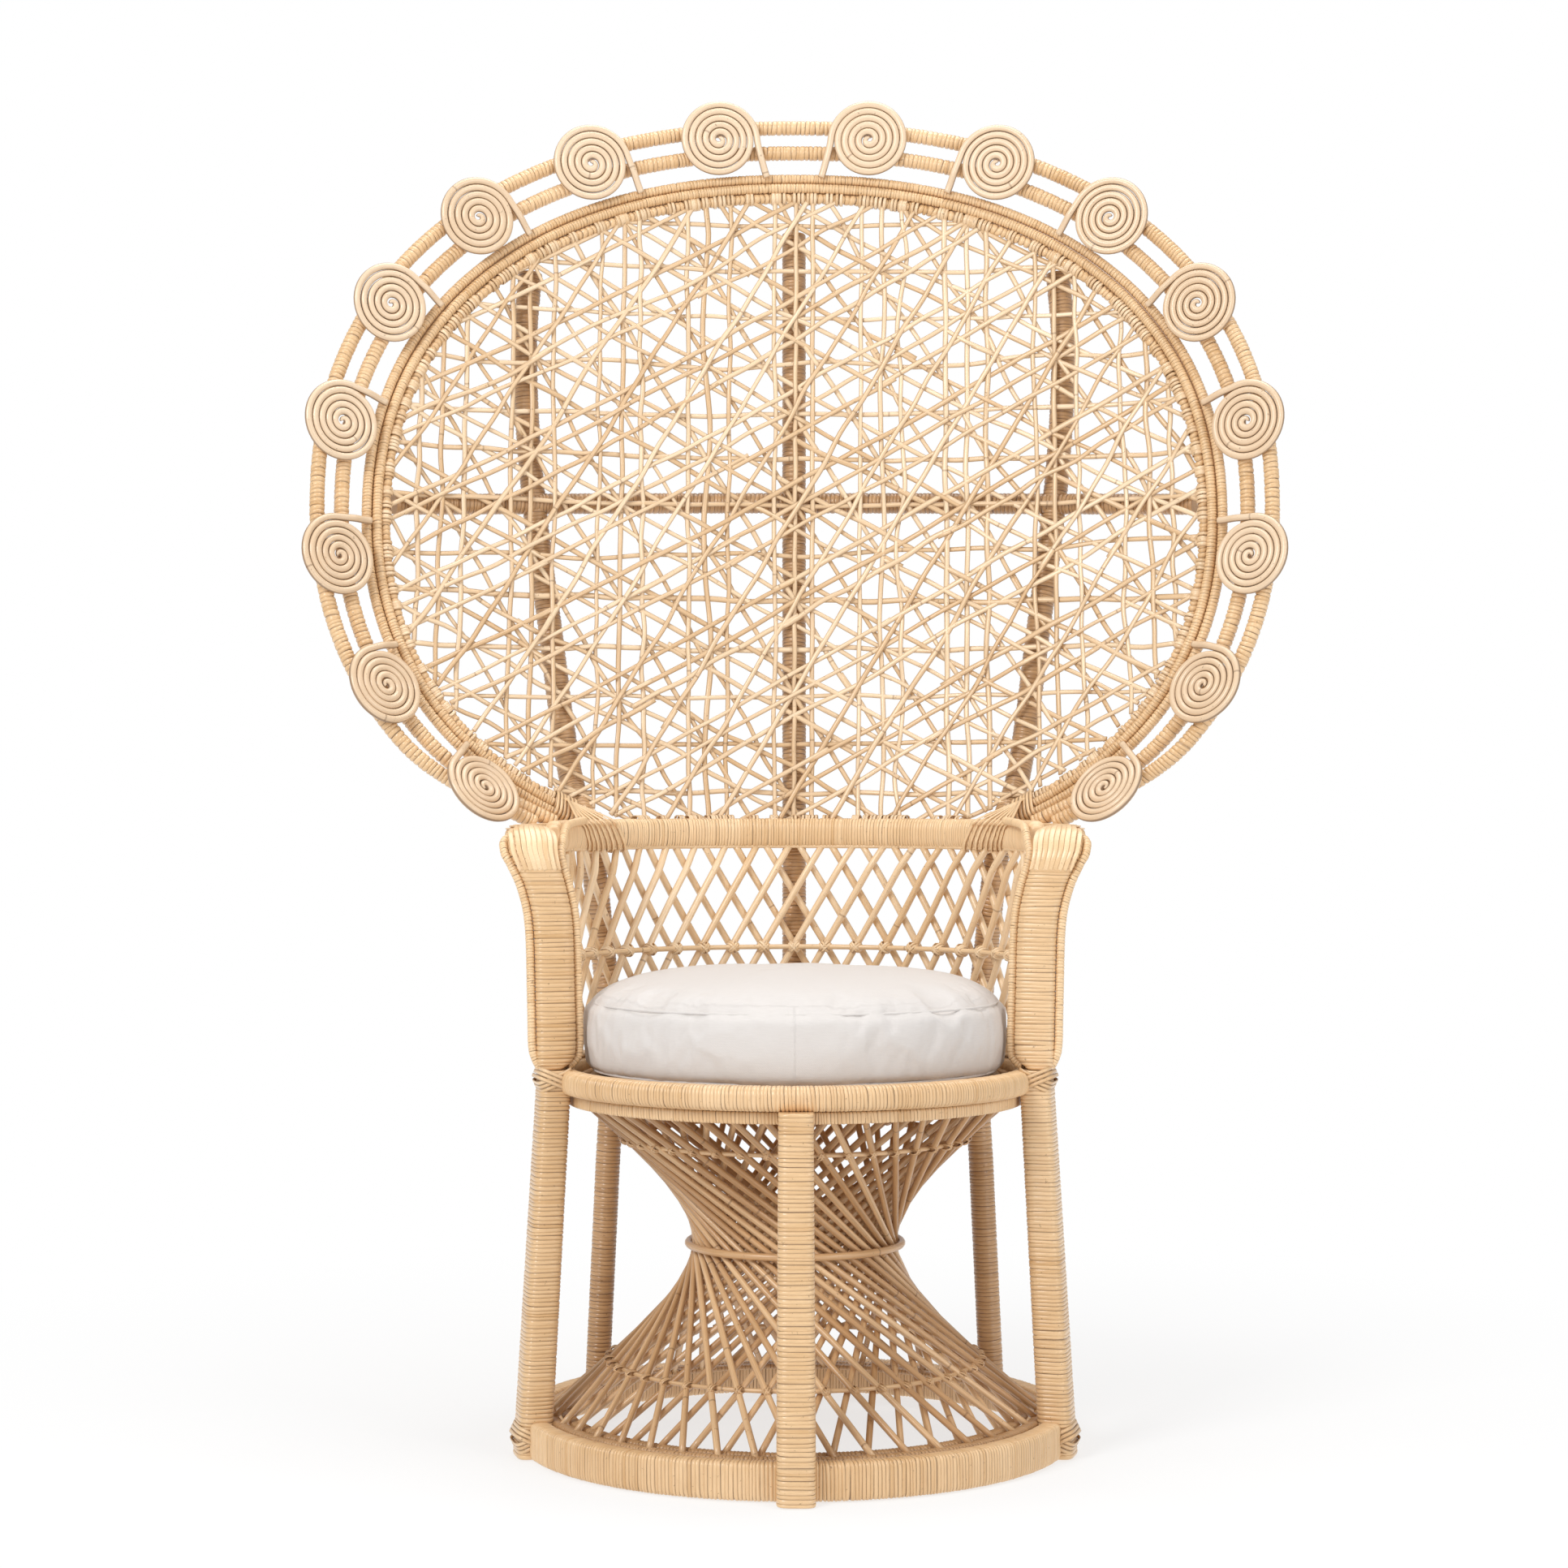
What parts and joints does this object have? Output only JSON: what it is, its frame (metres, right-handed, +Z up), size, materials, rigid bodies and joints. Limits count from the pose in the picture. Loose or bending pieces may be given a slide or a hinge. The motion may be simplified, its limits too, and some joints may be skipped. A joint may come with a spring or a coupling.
{
  "type": "peacock chair",
  "caption": "Rattan armchair with an hourglass rod base, a round cushioned seat, a lattice low back and a tall open-woven fan back edged with spiral coil discs.",
  "frame": {"origin": "the middle of the chair's overall outline, at floor level", "axes": "+Z up; the chair faces -Y; +X is to the right of a viewer who faces it"},
  "size_m": [1.0964, 0.7014, 1.5254],
  "materials": {
    "cane": "wrapped split cane, satin",
    "shaded_cane": "wrapped split cane, darker, satin",
    "rod_cane": "smooth round cane, satin",
    "pale_cane": "smooth pale cane, satin",
    "linen": "plain woven off-white cloth"
  },
  "bodies": {
    "chair": {"base_hoop": "cane", "seat_hoop": "cane", "seat_deck": "rod_cane", "hourglass_outer_rods_1": "rod_cane", "hourglass_outer_rods_2": "rod_cane", "hourglass_outer_rods_3": "rod_cane", "hourglass_outer_rods_4": "rod_cane", "hourglass_outer_rods_5": "rod_cane", "hourglass_outer_rods_6": "rod_cane", "hourglass_inner_rods": "rod_cane", "waist_ring": "rod_cane", "lower_tie_ring": "rod_cane", "upper_tie_ring": "rod_cane", "front_leg": "cane", "left_front_leg": "cane", "right_front_leg": "cane", "left_back_post": "shaded_cane", "right_back_post": "shaded_cane", "centre_back_post": "shaded_cane", "back_brace": "shaded_cane", "left_arm_front": "cane", "left_arm_outer_rim": "cane", "left_arm_inner_rim": "cane", "right_arm_front": "cane", "right_arm_outer_rim": "cane", "right_arm_inner_rim": "cane", "low_back_band": "cane", "low_back_outer_rods_1": "rod_cane", "low_back_outer_rods_2": "rod_cane", "low_back_outer_rods_3": "rod_cane", "low_back_inner_rods": "rod_cane", "low_back_tie_hoop": "rod_cane", "fan_rim_outer_hoop": "cane", "fan_rim_middle_hoop": "cane", "fan_rim_binding_hoop": "cane", "outer_hoop_near": "cane", "outer_hoop_far": "cane", "left_disc_1": "pale_cane", "right_disc_1": "pale_cane", "left_disc_2": "pale_cane", "right_disc_2": "pale_cane", "left_disc_3": "pale_cane", "right_disc_3": "pale_cane", "left_disc_4": "pale_cane", "right_disc_4": "pale_cane", "left_disc_5": "pale_cane", "right_disc_5": "pale_cane", "left_disc_6": "pale_cane", "right_disc_6": "pale_cane", "left_disc_7": "pale_cane", "right_disc_7": "pale_cane", "left_disc_8": "pale_cane", "right_disc_8": "pale_cane", "fan_net": "pale_cane"},
    "cushion": {"cushion": "linen"}
  },
  "joints": [
    {"name": "cushion_lift", "type": "slide", "parent": "chair", "child": "cushion", "axis": [0, 0, 1], "range_m": [0, 0.3]}
  ]
}
